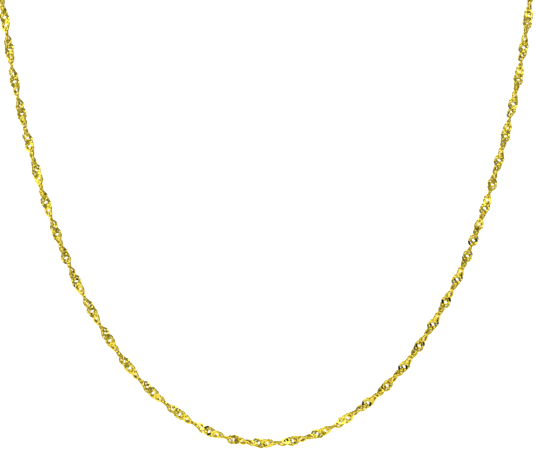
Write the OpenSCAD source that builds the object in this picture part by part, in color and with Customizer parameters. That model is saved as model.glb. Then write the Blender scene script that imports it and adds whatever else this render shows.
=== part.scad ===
// A fine twisted neck chain, worn: the front hangs low and the clasp lies at the nape.
// The origin is the middle of the clasp on the side that lies against the neck.
// +Z is up, and the front of the chain is toward -Y.

/* [Chain] */
// Width of the chain over its broadest links
chain_width = 1.7; // [1:0.1:3]
// Wire of the loop soldered to each end of the chain
end_loop_wire = 0.4; // [0.3:0.05:0.8]

/* [Clasp] */
// Outside diameter of the clasp's ring
clasp_diameter = 6; // [5.5:0.1:9]
// Thickness of the clasp's round body
clasp_body = 1.2; // [0.8:0.1:1.6]
// Wire of the eye soldered to the clasp
eye_wire = 0.5; // [0.3:0.05:0.8]
// Diameter of the thumb knob on the clasp
knob_diameter = 0.9; // [0.5:0.1:1.2]
// How far the thumb knob stands out of the clasp's body
knob_reach = 0.8; // [0.4:0.1:1.5]
// Where the knob stands, in degrees round the ring from the end ring's side
knob_angle = 55; // [40:1:130]

/* [Jump rings] */
// Wire of the two jump rings
ring_wire = 0.6; // [0.4:0.05:0.9]

/* [Fits] */
// Room between two pieces that hang on each other
hang_gap = 0.1; // [0.05:0.01:0.3]
// Room left in an eye or an end loop beside the jump ring's wire
eye_play = 0.6; // [0.4:0.05:1.2]
// Room left in a jump ring beside the two wires that it holds
ring_play = 0.5; // [0.4:0.05:1.2]

/* [Hidden] */
yellow_gold = [0.92, 0.72, 0.25];
round_sides = 48;
ring_sides = 96;

// Half of the chain's route, from the middle of the front up and round to the nape.
half_route = [
    [0, -112.5, -118],
    [10, -112.2, -116],
    [19.1, -111.2, -110.1],
    [26.4, -109.5, -102.3],
    [33.6, -106.6, -90.6],
    [38.5, -103, -79.1],
    [42.2, -98.8, -67.6],
    [45.1, -93.9, -56.3],
    [46.5, -90.3, -48.8],
    [47.7, -86.4, -41.4],
    [48.9, -79.9, -32.7],
    [49.6, -71.3, -24.3],
    [49.9, -61.2, -17.4],
    [49.2, -49, -11.7],
    [45.8, -34.8, -6.8],
    [39, -21.4, -3.4],
    [29.2, -10.4, -1.3],
    [17.2, -2.9, -0.3]
];
rings_a_stretch = 2;
tube_sides = 8;
across_loop = [0, -1, 1];

// The clasp's ring
clasp_radius = (clasp_diameter - clasp_body) / 2;
nape_y = clasp_body / 2;

// Holes that a jump ring's wire passes through
eye_hole = ring_wire + eye_play;
eye_radius = (eye_hole + eye_wire) / 2;
loop_radius = (eye_hole + end_loop_wire) / 2;

// The jump rings hold the clasp's body or eye on one side and an end loop on the other.
ring_hole = max(clasp_body, eye_wire) + end_loop_wire + ring_play;
ring_radius = (ring_hole + ring_wire) / 2;

// Places along X, each piece drawn tight against the one before it
end_ring_x = clasp_radius - clasp_body / 2 - hang_gap + ring_hole / 2;
right_loop_x = end_ring_x + ring_hole / 2 - hang_gap + eye_hole / 2;
eye_x = -(clasp_radius + clasp_body / 2 + eye_hole / 2);
clasp_link_x = eye_x - eye_hole / 2 + hang_gap - ring_hole / 2;
left_loop_x = clasp_link_x - ring_hole / 2 + hang_gap - eye_hole / 2;

// The tube starts at the far wire of each end loop.
chain_start = [left_loop_x - loop_radius, nape_y, 0];
chain_end = [right_loop_x + loop_radius, nape_y, 0];

function mirrored(p) = [-p[0], p[1], p[2]];

// A point beyond an end that makes the curve leave it straight along X
function beyond(end_point, next_point) =
    [2 * end_point[0] - next_point[0], next_point[1], next_point[2]];

last = len(half_route) - 1;
stations = concat(
    [beyond(chain_start, mirrored(half_route[last]))],
    [chain_start],
    [for (i = [last:-1:1]) mirrored(half_route[i])],
    half_route,
    [chain_end],
    [beyond(chain_end, half_route[last])]
);

// A point on the smooth curve through four stations, between the second and the third
function between(a, b, c, d, t) =
    (2 * b + (c - a) * t + (2 * a - 5 * b + 4 * c - d) * t * t
     + (3 * b - a - 3 * c + d) * t * t * t) / 2;

function curve(points, steps) = concat(
    [for (i = [1:len(points) - 3], k = [0:steps - 1])
        between(points[i - 1], points[i], points[i + 1], points[i + 2], k / steps)],
    [points[len(points) - 2]]
);

function unit(v) = v / norm(v);

// The direction of a line of points at one of them
function heading(path, i) =
    unit(path[min(i + 1, len(path) - 1)] - path[max(i - 1, 0)]);

// One ring of corners round the line, with its first corner across the necklace's loop
function ring_of_corners(path, i, radius, sides) =
    let (
        ahead = heading(path, i),
        side = unit(cross(ahead, across_loop)),
        up = cross(side, ahead)
    )
    [for (k = [0:sides - 1])
        path[i] + radius * (cos(360 * k / sides) * side + sin(360 * k / sides) * up)];

module swept_tube(path, diameter, sides) {
    rings = len(path);
    corners = [for (i = [0:rings - 1]) each ring_of_corners(path, i, diameter / 2, sides)];
    walls = [for (i = [0:rings - 2], k = [0:sides - 1])
        let (
            a = i * sides + k,
            b = i * sides + (k + 1) % sides
        )
        each [[a, b, b + sides], [a, b + sides, a + sides]]];
    start_cap = [for (k = [sides - 1:-1:0]) k];
    end_cap = [for (k = [0:sides - 1]) (rings - 1) * sides + k];
    polyhedron(points = corners, faces = concat([start_cap], walls, [end_cap]));
}

// A ring of round wire about the Z axis, at the height of the necklace's axis
module wire_ring(radius, wire) {
    rotate_extrude($fn = ring_sides)
        translate([radius, 0])
            circle(d = wire, $fn = round_sides);
}

// A ring that lies flat against the neck
module flat_ring(x, radius, wire) {
    translate([x, nape_y, 0])
        rotate([90, 0, 0])
            wire_ring(radius, wire);
}

// A ring that stands out from the neck
module standing_ring(x, radius, wire) {
    translate([x, nape_y, 0])
        wire_ring(radius, wire);
}

module chain() {
    color(yellow_gold) {
        swept_tube(curve(stations, rings_a_stretch), chain_width, tube_sides);
        flat_ring(left_loop_x, loop_radius, end_loop_wire);
        flat_ring(right_loop_x, loop_radius, end_loop_wire);
    }
}

module clasp() {
    color(yellow_gold) {
        flat_ring(0, clasp_radius, clasp_body);
        flat_ring(eye_x, eye_radius, eye_wire);
        translate([0, nape_y, 0])
            rotate([0, 90 - knob_angle, 0])
                translate([0, 0, clasp_radius])
                    cylinder(h = clasp_body / 2 + knob_reach, d = knob_diameter, $fn = round_sides);
    }
}

module clasp_link() {
    color(yellow_gold)
        standing_ring(clasp_link_x, ring_radius, ring_wire);
}

module end_ring() {
    color(yellow_gold)
        standing_ring(end_ring_x, ring_radius, ring_wire);
}

chain();
clasp();
clasp_link();
end_ring();
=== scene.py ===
"""Looks of the singapore chain necklace: real interlocking links, gold finishes, studio and camera.

Metres throughout, in the row's own frame: +Z up, the front of the chain toward -Y.
"""

import math
from typing import NamedTuple

import bpy
import numpy as np
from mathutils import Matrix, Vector


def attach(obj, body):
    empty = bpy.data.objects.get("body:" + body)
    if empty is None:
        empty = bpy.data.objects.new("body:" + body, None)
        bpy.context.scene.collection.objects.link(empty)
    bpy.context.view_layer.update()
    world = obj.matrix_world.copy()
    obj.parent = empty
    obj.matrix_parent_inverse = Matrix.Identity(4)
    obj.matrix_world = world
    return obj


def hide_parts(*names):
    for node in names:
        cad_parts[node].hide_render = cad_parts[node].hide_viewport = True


MM = 0.001

# Route of the chain: half of it, from the middle of the front up and round to the nape
HALF_ROUTE = [
    (0, -0.1125, -0.118),
    (0.010, -0.1122, -0.116),
    (0.0191, -0.1112, -0.1101),
    (0.0264, -0.1095, -0.1023),
    (0.0336, -0.1066, -0.0906),
    (0.0385, -0.103, -0.0791),
    (0.0422, -0.0988, -0.0676),
    (0.0451, -0.0939, -0.0563),
    (0.0465, -0.0903, -0.0488),
    (0.0477, -0.0864, -0.0414),
    (0.0489, -0.0799, -0.0327),
    (0.0496, -0.0713, -0.0243),
    (0.0499, -0.0612, -0.0174),
    (0.0492, -0.049, -0.0117),
    (0.0458, -0.0348, -0.0068),
    (0.039, -0.0214, -0.0034),
    (0.0292, -0.0104, -0.0013),
    (0.0172, -0.0029, -0.0003),
]
CHAIN_START = (-0.0075, 0.0006, 0)
CHAIN_END = (0.0051, 0.0006, 0)
STEPS_A_STRETCH = 60

# A link: a ring of wire that is a little thicker along the ring's axis than it is wide
LINK_RADIUS = 0.68 * MM
WIRE_WIDTH = 0.42 * MM
WIRE_THICKNESS = 0.48 * MM
LINK_SEGMENTS = 32
LINK_SIDES = 10

# From one pair of links to the next, and from one ring of a pair to the other
PAIR_STEP = 1.533 * MM
STEP_IN_PAIR = 0.6 * MM
# The rings of a pair are turned against each other only as much as the ribbon turns over this length
TURN_IN_PAIR = 0.25 * MM
# Each ring of a pair lies this far to its own side of the middle line, across the ribbon and along its axis
LINK_OFFSET = 0.04 * MM
LINK_LIFT = 0.12 * MM
# Half turns from the first narrow place to the middle of one pair, which all but faces the camera
FACE_ON_TURN = 24.473

# Flats cut on the free parts of a link, by their angle round it from the chain's direction
FRONT_FLATS = [math.radians(135), math.radians(315)]
BACK_FLATS = [math.radians(45), math.radians(225)]
FLAT_HALF_ARC = math.radians(42)
FLAT_FADE_ARC = math.radians(9)
# What a flat leaves of the wire, as a share of half its thickness
FLAT_DEPTH = 0.3

# Painted shade on the inner and outer rims of a link, darkening the edges of the wire: where it starts and is
# full, as shares of half its wire's width, and its colour
RIM_SHADE_STARTS = 0.3
RIM_SHADE_FULL = 0.8
RIM_SHADE_COLOUR = (0.46, 0.355, 0.035)

# Soldered loops at the ends of the chain, and the play of the first pair in its loop
END_LOOP_RADIUS = 0.8 * MM
END_LOOP_WIRE = 0.4 * MM
END_LOOP_SEGMENTS = 48
END_LOOP_SIDES = 16
HOOK_GAP = 0.03 * MM

# Edges sharper than this stay sharp, such as those of the flats
SMOOTH_BELOW = math.radians(46)

# How the ribbon turns, from its first narrow place on the left: (millimetres in the picture, half turns)
FIRST_NARROW = 6.2 * MM
TWIST_STRETCHES = [
    (34.3, 6),
    (5.2, 1),
    (4.1, 1),
    (17.6, 3),
    (25.0, 4),
    (3.8, 1),
    (5.8, 1),
    (15.5, 3),
    (32.6, 7),
    (3.6, 1),
    (2.6, 1),
    (2.8, 1),
    (5.1, 1),
    (3.6, 1),
    (4.8, 1),
    (21.1, 4),
]
# Length of a half turn outside those stretches
HIDDEN_HALF_TURN = 5.4 * MM

# Camera: in front of the chain and a little above it
ELEVATION = math.radians(10)
CAMERA_DISTANCE = 2.5
SENSOR = 36.0
CLIP_END = 50
# The middle of the picture, to the right of the chain's lowest place and above it
FRAME_CENTRE = (0.31 * MM, 39.3 * MM)
# How far above its lowest place the picture shows the chain
SEEN_HEIGHT = 79.7 * MM
# About half the depth of the shown part, behind its lowest place, and the picture's width there
HALF_DEPTH = 6 * MM
PHOTO_WIDTH = 96.5 * MM

# Brightness of the studio, by the height of a direction from level (0) to straight up (1)
STUDIO_BANDS = [(0.0, 0.85), (0.045, 0.85), (0.09, 0.35), (1.0, 0.35)]
# A dim patch in front of the chain, round and above the camera: how far from its middle it is full and ends
DIM_PATCH = (math.radians(10), math.radians(13))
DIM_ELEVATION = math.radians(17)
DIM_LEVEL = 0.02

# Soft lights: (name, place, size, watts, aim)
SOFT_LIGHTS = [
    ("overhead", (0, 0.4, 2.8), (4.0, 4.0), 146, (0, 0.4, -0.22)),
    ("left_box", (-1.9, -0.9, 0.5), (1.5, 1.5), 12, (0, -0.1, -0.08)),
    ("right_box", (1.9, -0.9, 0.5), (1.2, 1.5), 8, (0, -0.1, -0.08)),
]

FLOOR_HALF_WIDTH = 8.0
FLOOR_HEIGHT = -0.22
FLOOR_COLOUR = (0.92, 0.92, 0.91)
FLOOR_ROUGHNESS = 0.9

# Finishes: (colour, deeper colour, roughness, scale of the polishing marks)
CHAIN_GOLD = ((0.91, 0.76, 0.1), (0.83, 0.665, 0.06), 0.1, 9000)
CLASP_GOLD = ((0.93, 0.75, 0.15), (0.86, 0.66, 0.10), 0.14, 5200)
RING_GOLD = ((0.93, 0.75, 0.15), (0.85, 0.65, 0.10), 0.17, 6500)

# Slow changes between the two colours of a gold
TONE_SCALE = 420
TONE_DETAIL = 3
TONE_BLEND = (0.35, 0.62)

# Polishing marks: how they change the roughness, and how deep they are
MARKS_DETAIL = 6
MARKS_ROUGHNESS = 0.65
MARKS_RANGE = (0.3, 0.7)
ROUGHNESS_SPREAD = (0.7, 1.5)
BUMP_STRENGTH = 0.12
BUMP_DISTANCE = 0.01 * MM


def unit(v):
    return v / np.linalg.norm(v, axis=-1, keepdims=True)


def front_direction(elevation):
    """The direction toward the front of the chain, raised by an elevation."""
    return np.array([0, -math.cos(elevation), math.sin(elevation)])


def sight_axes():
    """The picture's right and up directions and the direction to the camera."""
    right = np.array([1.0, 0, 0])
    up = np.array([0, math.sin(ELEVATION), math.cos(ELEVATION)])
    return right, up, front_direction(ELEVATION)


def point_beyond(end, neighbour):
    """A point past an end of the route that makes the line leave it straight along X."""
    return np.array([2 * end[0] - neighbour[0], neighbour[1], neighbour[2]])


def route_stations():
    """The route's points from end to end, with one more beyond each end."""
    half = np.array(HALF_ROUTE, float)
    mirrored = half[:0:-1] * [-1, 1, 1]
    start, end = np.array(CHAIN_START, float), np.array(CHAIN_END, float)
    before, after = point_beyond(start, mirrored[0]), point_beyond(end, half[-1])
    return np.vstack([before, start, mirrored, half, end, after])


def chain_line():
    """Points along the chain's middle line, from its left end round the front to its right end."""
    stations = route_stations()
    line = []
    for a, b, c, d in zip(stations, stations[1:], stations[2:], stations[3:]):
        for step in range(STEPS_A_STRETCH):
            t = step / STEPS_A_STRETCH
            bend = (2 * a - 5 * b + 4 * c - d) * t * t + (3 * b - a - 3 * c + d) * t**3
            line.append((2 * b + (c - a) * t + bend) / 2)
    line.append(stations[-2])
    return np.array(line)


def lengths_along(points):
    steps = np.linalg.norm(np.diff(points, axis=0), axis=1)
    return np.concatenate([[0], np.cumsum(steps)])


def carried_side(tangents, first_side):
    """A side direction carried along the line without turning about it, from its middle outward."""
    count = len(tangents)
    middle = count // 2
    sides = np.zeros_like(tangents)
    sides[middle] = first_side
    for order in (range(middle + 1, count), range(middle - 1, -1, -1)):
        previous = sides[middle]
        for i in order:
            previous = unit(previous - (previous @ tangents[i]) * tangents[i])
            sides[i] = previous
    return sides


def seen_stretch(picture):
    """The first and the last of the line's points that the picture shows."""
    height = picture[:, 1] - picture[:, 1].min()
    seen = np.flatnonzero(height <= SEEN_HEIGHT)
    return seen[0], seen[-1]


def half_turns_at(picture_length):
    """Half turns of the ribbon from its first narrow place on the left, for lengths in the picture."""
    table = np.array(TWIST_STRETCHES, float)
    ends = FIRST_NARROW + np.concatenate([[0], np.cumsum(table[:, 0])]) * MM
    turns = np.concatenate([[0], np.cumsum(table[:, 1])])
    before = np.minimum(picture_length - ends[0], 0) / HIDDEN_HALF_TURN
    after = np.maximum(picture_length - ends[-1], 0) / HIDDEN_HALF_TURN
    return before + np.interp(picture_length, ends, turns) + after


class Ribbon:
    """The chain's middle line and the way the ribbon of links faces at each length along it."""

    def __init__(self):
        right, up, toward = sight_axes()
        self.points = chain_line()
        self.lengths = lengths_along(self.points)
        self.tangents = unit(np.gradient(self.points, self.lengths, axis=0))
        facing = toward - (self.tangents @ toward)[:, None] * self.tangents
        self.side = carried_side(self.tangents, unit(facing[len(facing) // 2]))
        self.cross = np.cross(self.tangents, self.side)

        picture = np.stack([self.points @ right, self.points @ up], 1)
        picture_length = lengths_along(picture)
        first, last = seen_stretch(picture)
        seen = slice(first, last + 1)
        half_turns = half_turns_at(picture_length[seen] - picture_length[first])
        # The ribbon is edge-on at whole half turns and faces the camera halfway between them
        shown = math.pi * (half_turns + 0.5) + self.view_angles(unit(facing[seen]), seen)
        before = self.hidden_angles(0, first, shown[0])
        after = self.hidden_angles(len(self.points) - 1, last, shown[-1])
        self.angles = np.concatenate([before[:-1], shown, after[1:]])
        self.seen_ends = self.lengths[first], self.lengths[last]
        self.face_on = np.interp(FACE_ON_TURN, half_turns, self.lengths[seen])

    def view_angles(self, facing, seen):
        """Angles about the line at which a link would face the camera."""
        across = np.sum(facing * self.cross[seen], 1)
        beside = np.sum(facing * self.side[seen], 1)
        return np.unwrap(np.arctan2(across, beside))

    def hidden_angles(self, end, seen_end, seen_angle):
        """Angles between the seen part and an end, where the last link's axis is upright."""
        hidden = self.lengths[end] - self.lengths[seen_end]
        natural = seen_angle + math.pi * hidden / HIDDEN_HALF_TURN
        upright = math.atan2(self.cross[end][2], self.side[end][2])
        goal = upright + math.pi * round((natural - upright) / math.pi)
        low, high = sorted((end, seen_end))
        share = (self.lengths[low : high + 1] - self.lengths[seen_end]) / hidden
        return seen_angle + (goal - seen_angle) * share

    def at(self, length, turned_at):
        """Middle, direction and axis of a link at one length, turned as the ribbon is at another."""

        def pick(values):
            return np.array([np.interp(length, self.lengths, values[:, k]) for k in range(3)])

        tangent = unit(pick(self.tangents))
        side = pick(self.side)
        side = unit(side - (side @ tangent) * tangent)
        angle = np.interp(turned_at, self.lengths, self.angles)
        axis = math.cos(angle) * side + math.sin(angle) * np.cross(tangent, side)
        return pick(self.points), tangent, axis


def flat_limit(turn, flats):
    """How far the wire reaches along the link's axis at angles round it, as a share of half its thickness."""
    away = [np.abs((turn - flat + math.pi) % (2 * math.pi) - math.pi) for flat in flats]
    fade = np.clip((np.min(away, axis=0) - FLAT_HALF_ARC) / FLAT_FADE_ARC, 0, 1)
    return FLAT_DEPTH + (1 - FLAT_DEPTH) * fade


class Ring(NamedTuple):
    """A kind of ring: the size of its wire and its mesh, and whether flats are cut on it."""

    radius: float
    wire_width: float
    wire_thickness: float
    segments: int
    sides: int
    cut: bool

    def round_wire(self):
        """Angles round the wire, from the outer side of the ring."""
        return (np.arange(self.sides) + 0.5) * 2 * math.pi / self.sides

    def points(self, middle, along, axis):
        """The mesh's points for a ring round an axis, counted from the direction along the chain."""
        turn = np.arange(self.segments) * 2 * math.pi / self.segments
        out = self.radius + np.cos(self.round_wire()) * self.wire_width / 2
        lift = np.tile(np.sin(self.round_wire()), (self.segments, 1))
        if self.cut:
            lift = np.minimum(lift, flat_limit(turn, FRONT_FLATS)[:, None])
            lift = np.maximum(lift, -flat_limit(turn, BACK_FLATS)[:, None])
        spoke = np.outer(np.cos(turn), along) + np.outer(np.sin(turn), np.cross(axis, along))
        raised = (lift * self.wire_thickness / 2)[:, :, None] * axis
        return (middle + out[:, None] * spoke[:, None, :] + raised).reshape(-1, 3)

    def faces(self):
        i = np.repeat(np.arange(self.segments), self.sides)
        k = np.tile(np.arange(self.sides), self.segments)
        j, m = (i + 1) % self.segments, (k + 1) % self.sides
        corners = [i * self.sides + k, j * self.sides + k, j * self.sides + m, i * self.sides + m]
        return np.stack(corners, 1)

    def rim_shade_weights(self):
        """How much painted shade each point gets: 1 on the inner and outer rims of the ring, 0 on its front
        and back faces, point by point.
        """
        shade = (np.abs(np.cos(self.round_wire())) - RIM_SHADE_STARTS) / (RIM_SHADE_FULL - RIM_SHADE_STARTS)
        return np.tile(np.clip(shade, 0, 1), self.segments)


LINK = Ring(LINK_RADIUS, WIRE_WIDTH, WIRE_THICKNESS, LINK_SEGMENTS, LINK_SIDES, cut=True)
END_LOOP = Ring(END_LOOP_RADIUS, END_LOOP_WIRE, END_LOOP_WIRE, END_LOOP_SEGMENTS, END_LOOP_SIDES, cut=False)


def end_loop(middle_x):
    """A loop that lies flat against the neck."""
    middle = np.array([middle_x, CHAIN_START[1], 0])
    return END_LOOP, END_LOOP.points(middle, along=np.array([1.0, 0, 0]), axis=np.array([0, 1.0, 0]))


def link_pair(ribbon, place):
    """The two rings of the pair at one length along the chain."""
    pair = []
    for way in (-1, 1):
        length = place + way * STEP_IN_PAIR / 2
        middle, along, axis = ribbon.at(length, place + way * TURN_IN_PAIR / 2)
        aside = np.cross(axis, along) * LINK_OFFSET + axis * LINK_LIFT
        pair.append((LINK, LINK.points(middle + way * aside, along, axis)))
    return pair


def pair_places(ribbon):
    """Lengths of the pairs: even steps where they are seen, fitted to the end loops where hidden."""
    hooked = LINK_RADIUS - WIRE_WIDTH / 2 - END_LOOP_WIRE / 2 - HOOK_GAP + STEP_IN_PAIR / 2
    ends = hooked, ribbon.lengths[-1] - hooked
    before = math.floor((ribbon.face_on - ribbon.seen_ends[0]) / PAIR_STEP)
    after = math.floor((ribbon.seen_ends[1] - ribbon.face_on) / PAIR_STEP)
    seen = ribbon.face_on + PAIR_STEP * np.arange(-before, after + 1)
    left = np.linspace(ends[0], seen[0], round((seen[0] - ends[0]) / PAIR_STEP) + 1)
    right = np.linspace(seen[-1], ends[1], round((ends[1] - seen[-1]) / PAIR_STEP) + 1)
    return np.concatenate([left[:-1], seen, right[1:]])


def mesh_piece(name, rings, material):
    """One joined mesh made of rings, each given as (kind of ring, points)."""
    starts = np.cumsum([0] + [len(points) for _, points in rings[:-1]])
    points = np.vstack([points for _, points in rings])
    faces = np.vstack([kind.faces() + start for (kind, _), start in zip(rings, starts)])
    # Weights of the painted shade on the links' rims, kept as a point attribute for the gold to read
    rim_shade_weights = np.concatenate([kind.rim_shade_weights() for kind, _ in rings])
    mesh = bpy.data.meshes.new(name)
    mesh.from_pydata(points.tolist(), [], faces.tolist())
    mesh.materials.append(material)
    mesh.attributes.new("rim_shade", "FLOAT", "POINT").data.foreach_set("value", rim_shade_weights)
    mesh.shade_smooth()
    mesh.set_sharp_from_angle(angle=SMOOTH_BELOW)
    piece = bpy.data.objects.new(name, mesh)
    bpy.context.scene.collection.objects.link(piece)
    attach(piece, "root")
    return piece


def build_chain(material):
    """The links in two joined halves, each with its end loop."""
    ribbon = Ribbon()
    places = pair_places(ribbon)
    halves = {
        "chain_left": [end_loop(CHAIN_START[0] + END_LOOP_RADIUS)],
        "chain_right": [end_loop(CHAIN_END[0] - END_LOOP_RADIUS)],
    }
    for pair, place in enumerate(places):
        half = "chain_left" if pair < len(places) / 2 else "chain_right"
        halves[half].extend(link_pair(ribbon, place))
    for name, rings in halves.items():
        piece = mesh_piece(name, rings, material)
        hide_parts("chain")


def slow_tone(tree, place, colour, deep_colour):
    """A colour that drifts between two golds over the surface."""
    noise = tree.nodes.new("ShaderNodeTexNoise")
    noise.inputs["Scale"].default_value = TONE_SCALE
    noise.inputs["Detail"].default_value = TONE_DETAIL
    tree.links.new(place, noise.inputs["Vector"])
    blend = tree.nodes.new("ShaderNodeValToRGB")
    for element, position, tone in zip(blend.color_ramp.elements, TONE_BLEND, (deep_colour, colour)):
        element.position = position
        element.color = (*tone, 1)
    tree.links.new(noise.outputs["Fac"], blend.inputs["Fac"])
    return blend.outputs["Color"]


def with_painted_rim_shade(tree, colour):
    """The colour with painted shade on the links' rims. A mesh without the rim shade attribute keeps its
    colour.
    """
    rim_shade = tree.nodes.new("ShaderNodeAttribute")
    rim_shade.attribute_name = "rim_shade"
    mix = tree.nodes.new("ShaderNodeMix")
    mix.data_type = "RGBA"
    tree.links.new(rim_shade.outputs["Fac"], mix.inputs["Factor"])
    tree.links.new(colour, mix.inputs["A"])
    # Colour of the painted shade on the rims
    mix.inputs["B"].default_value = (*RIM_SHADE_COLOUR, 1)
    return mix.outputs["Result"]


def polishing_marks(tree, place, scale):
    noise = tree.nodes.new("ShaderNodeTexNoise")
    noise.inputs["Scale"].default_value = scale
    noise.inputs["Detail"].default_value = MARKS_DETAIL
    noise.inputs["Roughness"].default_value = MARKS_ROUGHNESS
    tree.links.new(place, noise.inputs["Vector"])
    return noise.outputs["Fac"]


def uneven_roughness(tree, marks, roughness):
    spread = tree.nodes.new("ShaderNodeMapRange")
    spread.inputs["From Min"].default_value = MARKS_RANGE[0]
    spread.inputs["From Max"].default_value = MARKS_RANGE[1]
    spread.inputs["To Min"].default_value = roughness * ROUGHNESS_SPREAD[0]
    spread.inputs["To Max"].default_value = roughness * ROUGHNESS_SPREAD[1]
    tree.links.new(marks, spread.inputs["Value"])
    return spread.outputs["Result"]


def faint_bump(tree, marks):
    bump = tree.nodes.new("ShaderNodeBump")
    bump.inputs["Strength"].default_value = BUMP_STRENGTH
    bump.inputs["Distance"].default_value = BUMP_DISTANCE
    tree.links.new(marks, bump.inputs["Height"])
    return bump.outputs["Normal"]


def gold(name, colour, deep_colour, roughness, marks_scale):
    """Polished yellow gold: slow changes of tone, painted shade on the links' rims, and fine polishing marks.
    """
    material = bpy.data.materials.new(name)
    material.use_nodes = True
    tree = material.node_tree
    shader = tree.nodes["Principled BSDF"]
    shader.inputs["Metallic"].default_value = 1.0
    place = tree.nodes.new("ShaderNodeTexCoord").outputs["Object"]
    tone = slow_tone(tree, place, colour, deep_colour)
    # The base colour carries the painted shade on the links' rims
    tree.links.new(with_painted_rim_shade(tree, tone), shader.inputs["Base Color"])
    marks = polishing_marks(tree, place, marks_scale)
    tree.links.new(uneven_roughness(tree, marks, roughness), shader.inputs["Roughness"])
    tree.links.new(faint_bump(tree, marks), shader.inputs["Normal"])
    return material


def dress_clasp(nodes):
    """The clasp and the two jump rings keep their own solids and get their finishes."""
    clasp_gold = gold("clasp_gold", *CLASP_GOLD)
    ring_gold = gold("ring_gold", *RING_GOLD)
    for node, material in (("clasp", clasp_gold), ("clasp_link", ring_gold), ("end_ring", ring_gold)):
        piece = nodes[node]
        piece.data.materials.clear()
        piece.data.materials.append(material)


def floor():
    """A plain pale floor, well below the chain."""
    half, height = FLOOR_HALF_WIDTH, FLOOR_HEIGHT
    corners = [(-half, -half, height), (half, -half, height), (half, half, height), (-half, half, height)]
    mesh = bpy.data.meshes.new("floor")
    mesh.from_pydata(corners, [], [(0, 1, 2, 3)])
    piece = bpy.data.objects.new("floor", mesh)
    bpy.context.scene.collection.objects.link(piece)
    material = bpy.data.materials.new("pale_floor")
    material.use_nodes = True
    shader = material.node_tree.nodes["Principled BSDF"]
    shader.inputs["Base Color"].default_value = (*FLOOR_COLOUR, 1)
    shader.inputs["Roughness"].default_value = FLOOR_ROUGHNESS
    mesh.materials.append(material)


def studio_bands(tree, direction):
    """Brightness by height: bright near the horizon, dimmer above it."""
    parts = tree.nodes.new("ShaderNodeSeparateXYZ")
    tree.links.new(direction, parts.inputs["Vector"])
    bands = tree.nodes.new("ShaderNodeValToRGB")
    ramp = bands.color_ramp
    ramp.elements[0].position = STUDIO_BANDS[0][0]
    ramp.elements[1].position = STUDIO_BANDS[-1][0]
    for height, _ in STUDIO_BANDS[1:-1]:
        ramp.elements.new(height)
    for element, (_, level) in zip(ramp.elements, STUDIO_BANDS):
        element.color = (level, level, level, 1)
    tree.links.new(parts.outputs["Z"], bands.inputs["Fac"])
    return bands.outputs["Color"]


def dim_patch(tree, direction):
    """A factor that is low in a patch in front of the chain, which its flats mirror as dark strokes."""
    nearness = tree.nodes.new("ShaderNodeVectorMath")
    nearness.operation = "DOT_PRODUCT"
    nearness.inputs[1].default_value = front_direction(DIM_ELEVATION)
    tree.links.new(direction, nearness.inputs[0])
    full, ends = DIM_PATCH
    patch = tree.nodes.new("ShaderNodeMapRange")
    patch.inputs["From Min"].default_value = math.cos(ends)
    patch.inputs["From Max"].default_value = math.cos(full)
    patch.inputs["To Min"].default_value = 1.0
    patch.inputs["To Max"].default_value = DIM_LEVEL
    tree.links.new(nearness.outputs["Value"], patch.inputs["Value"])
    return patch.outputs["Result"]


def studio():
    """Soft light from all round, with a dim patch round and above the camera."""
    world = bpy.data.worlds.new("studio")
    bpy.context.scene.world = world
    world.use_nodes = True
    tree = world.node_tree
    direction = tree.nodes.new("ShaderNodeTexCoord").outputs["Generated"]
    bands = studio_bands(tree, direction)
    patch = dim_patch(tree, direction)
    light = tree.nodes.new("ShaderNodeVectorMath")
    light.operation = "SCALE"
    tree.links.new(bands, light.inputs[0])
    tree.links.new(patch, light.inputs["Scale"])
    background = tree.nodes["Background"]
    tree.links.new(light.outputs["Vector"], background.inputs["Color"])
    background.inputs["Strength"].default_value = 1.0


def turn_toward(thing, direction):
    thing.rotation_mode = "QUATERNION"
    thing.rotation_quaternion = Vector(direction).to_track_quat("-Z", "Y")


def soft_lights():
    for name, place, size, watts, aim in SOFT_LIGHTS:
        lamp = bpy.data.lights.new(name, "AREA")
        lamp.shape = "RECTANGLE"
        lamp.size, lamp.size_y = size
        lamp.energy = watts
        light = bpy.data.objects.new(name, lamp)
        bpy.context.scene.collection.objects.link(light)
        light.location = place
        turn_toward(light, Vector(aim) - Vector(place))


def camera():
    """The photo's view: from the front, a little above, through a long lens."""
    right, up, toward = sight_axes()
    lowest = np.array(HALF_ROUTE[0], float)
    aim = lowest + FRAME_CENTRE[0] * right + FRAME_CENTRE[1] * up
    data = bpy.data.cameras.new("camera")
    data.sensor_width = SENSOR
    data.lens = SENSOR * (CAMERA_DISTANCE + HALF_DEPTH) / PHOTO_WIDTH
    data.clip_end = CLIP_END
    eye = bpy.data.objects.new("camera", data)
    bpy.context.scene.collection.objects.link(eye)
    eye.location = Vector(aim + CAMERA_DISTANCE * toward)
    turn_toward(eye, -toward)
    bpy.context.scene.camera = eye
    bpy.context.scene.view_settings.view_transform = "Standard"


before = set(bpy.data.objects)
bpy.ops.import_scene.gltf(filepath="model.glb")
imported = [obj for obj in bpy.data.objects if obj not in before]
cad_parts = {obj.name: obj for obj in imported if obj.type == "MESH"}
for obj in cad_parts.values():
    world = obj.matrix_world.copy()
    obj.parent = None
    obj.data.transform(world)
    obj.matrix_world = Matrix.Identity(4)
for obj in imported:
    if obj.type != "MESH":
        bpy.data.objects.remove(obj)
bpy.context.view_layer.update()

build_chain(gold("chain_gold", *CHAIN_GOLD))
dress_clasp(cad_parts)
floor()
studio()
soft_lights()
camera()
